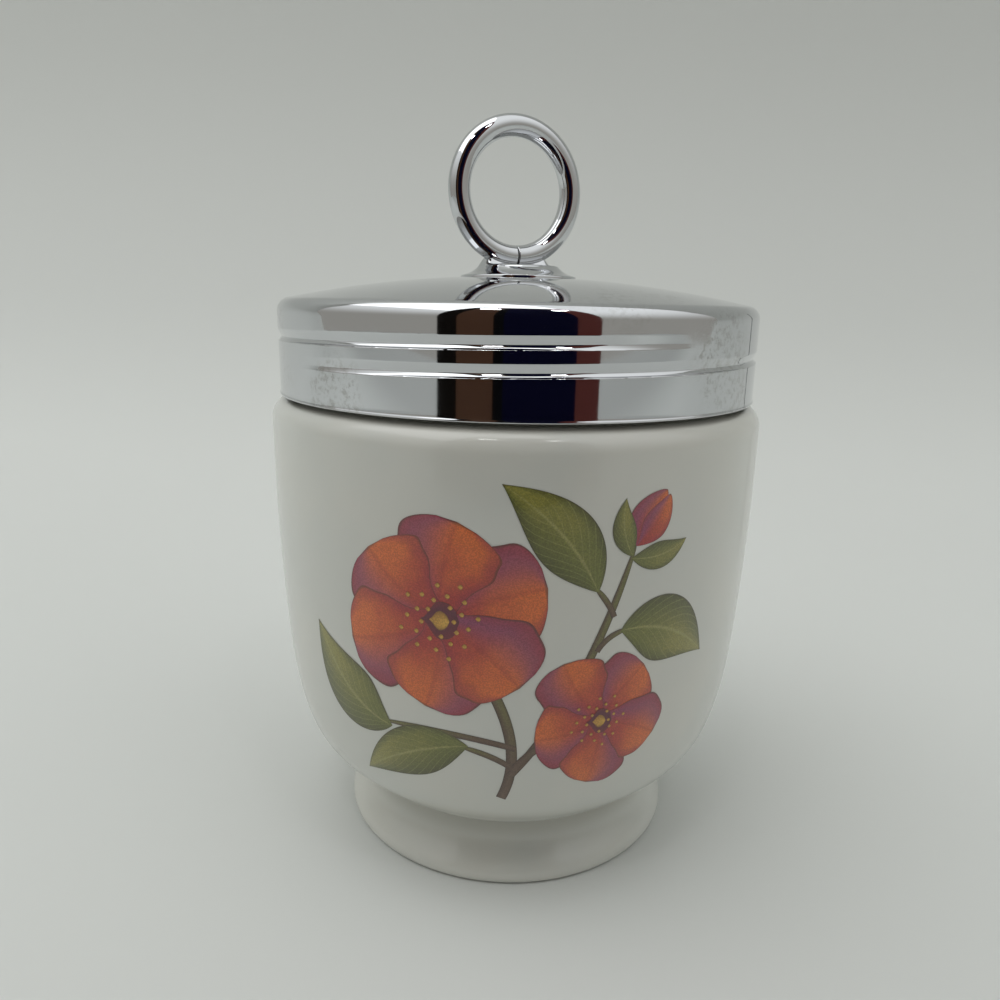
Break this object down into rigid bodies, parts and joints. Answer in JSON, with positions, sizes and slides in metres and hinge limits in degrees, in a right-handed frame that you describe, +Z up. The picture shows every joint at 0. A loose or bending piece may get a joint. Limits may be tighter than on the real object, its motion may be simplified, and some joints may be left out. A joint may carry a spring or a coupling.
{
  "type": "egg coddler",
  "caption": "Footed porcelain cooking cup with a threaded neck, closed by a domed chromed screw lid with a rolled thread and a wire lifting ring.",
  "frame": {"origin": "middle of the foot's resting face", "axes": "+Z up along the cup's axis, -Y towards the decorated front, +X to the right"},
  "size_m": [0.0744, 0.0744, 0.1098],
  "materials": {
    "porcelain": "clear glossy glaze on pale cream-white porcelain, with a coloured print on the front",
    "chromed_lid": "bright plating with faint water marks",
    "chromed_ring": "bright plating",
    "rivet_metal": "plated, dulled by the heading tool"
  },
  "bodies": {
    "cup": {"porcelain_cup": "porcelain"},
    "rivet": {"ring_rivet": "rivet_metal"},
    "lid": {"lid_shell": "chromed_lid", "ring_collar": "chromed_ring", "lift_ring": "chromed_ring"}
  },
  "joints": [
    {"name": "lid_rise", "type": "slide", "parent": "cup", "child": "rivet", "axis": [0, 0, 1], "range_m": [0, 0.0143]},
    {"name": "lid_turn", "type": "hinge", "parent": "rivet", "child": "lid", "pos_m": [0, 0, 0.08], "axis": [0, 0, 1], "range_deg": [0, 1620]}
  ],
  "couplings": [
    {"joint": "lid_rise", "follows": "lid_turn", "m_per_rad": 0.00050532}
  ]
}
